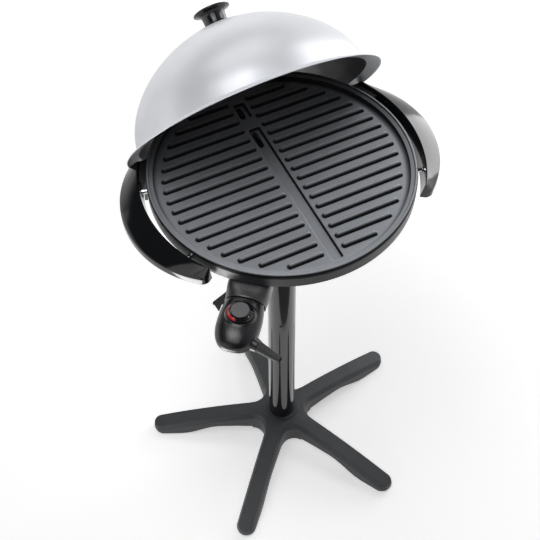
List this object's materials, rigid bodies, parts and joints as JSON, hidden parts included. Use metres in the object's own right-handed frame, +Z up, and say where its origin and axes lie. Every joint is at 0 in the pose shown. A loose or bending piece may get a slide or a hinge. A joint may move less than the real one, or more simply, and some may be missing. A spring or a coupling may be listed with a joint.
{
  "type": "pedestal electric grill with domed lid",
  "caption": "Round electric grill on a pedestal with a ribbed plate, side handles, a plug-in dial thermostat and a domed lid parked behind the plate.",
  "frame": {"origin": "on the floor, under the middle of the whole object's outline; the column's axis stands 9.9 mm behind it", "axes": "+Z up along the column; the cook stands on the -Y side and the lid is parked on the +Y side; +X to the cook's right"},
  "size_m": [0.516, 0.5538, 1.0028],
  "materials": {
    "slate_casting": "matt slate-grey powder coat on a light-metal casting",
    "black_rubber": "soft black rubber",
    "zinc_steel": "zinc-plated steel screws",
    "dark_plastic": "fine-grained black heat-resistant plastic",
    "black_enamel": "glossy black stove enamel on steel tube",
    "plain_steel": "plain drawn steel",
    "housing_plastic": "satin dark grey heat-resistant moulding",
    "bright_aluminium": "bright rolled aluminium sheet",
    "element_sheath": "dark annealed tube sheath, browned by heat",
    "ceramic_block": "unglazed cream ceramic",
    "contact_brass": "plain brass contacts",
    "runner_steel": "dark painted sheet",
    "tray_aluminium": "pressed aluminium sheet",
    "coated_plate": "grey non-stick coating on cast aluminium, satin",
    "gloss_black": "glossy black phenolic moulding",
    "polished_chrome": "polished chrome",
    "lid_metal": "spun aluminium with a satin silver coat, dark grey inside",
    "control_plastic": "satin charcoal moulding",
    "probe_steel": "bare stainless probe tube",
    "lens_red": "clear red lens, unlit"
  },
  "bodies": {
    "stand": {"star_base": "slate_casting", "foot_pads": "black_rubber", "base_bolt": "zinc_steel", "column_plug": "dark_plastic", "column_lower": "black_enamel", "column_upper": "black_enamel", "joiner_sleeve": "plain_steel", "column_screws": "zinc_steel", "base_housing": "housing_plastic", "reflector": "bright_aluminium", "reflector_screws": "zinc_steel", "element_clips": "plain_steel", "heating_element": "element_sheath", "terminal_block": "ceramic_block", "terminal_pins": "contact_brass", "probe_hood": "housing_plastic", "hood_fin": "housing_plastic", "tray_runners": "runner_steel", "handle_left": "gloss_black", "handle_right": "gloss_black", "handle_posts": "polished_chrome", "handle_screws": "zinc_steel"},
    "plate": {"grill_plate": "coated_plate", "lid_rest_left": "dark_plastic", "lid_rest_right": "dark_plastic"},
    "lid": {"lid_shell": "lid_metal", "knob_washer": "black_rubber", "lid_knob": "gloss_black", "knob_screw": "zinc_steel"},
    "thermostat": {"thermostat_top": "control_plastic", "thermostat_bottom": "control_plastic", "plug_nose": "dark_plastic", "socket_contacts": "contact_brass", "heat_probe": "probe_steel", "cord_guard": "black_rubber", "indicator_lens": "lens_red"},
    "dial": {"dial_knob": "gloss_black", "dial_spindle": "plain_steel"},
    "tray": {"drip_tray": "tray_aluminium"},
    "button": {"lock_button": "dark_plastic", "button_clip": "plain_steel"}
  },
  "joints": [
    {"name": "plate_lift", "type": "slide", "parent": "stand", "child": "plate", "axis": [0, 0, 1], "range_m": [0, 0.03]},
    {"name": "lid_tilt", "type": "hinge", "parent": "plate", "child": "lid", "pos_m": [0, 0.1199, 0.791], "axis": [1, 0, 0], "range_deg": [0, 40]},
    {"name": "thermostat_pull", "type": "slide", "parent": "stand", "child": "thermostat", "axis": [-0.6388, -0.7694, 0], "range_m": [0, 0.125]},
    {"name": "dial_turn", "type": "hinge", "parent": "thermostat", "child": "dial", "pos_m": [-0.16535, -0.19114, 0.773], "axis": [0, 0, 1], "range_deg": [0, 300]},
    {"name": "tray_pull", "type": "slide", "parent": "stand", "child": "tray", "axis": [1, 0, 0], "range_m": [0, 0.13]},
    {"name": "button_press", "type": "slide", "parent": "stand", "child": "button", "axis": [0.5, 0.866, 0], "range_m": [0, 0.003], "stiffness_N_per_m": 1500}
  ]
}
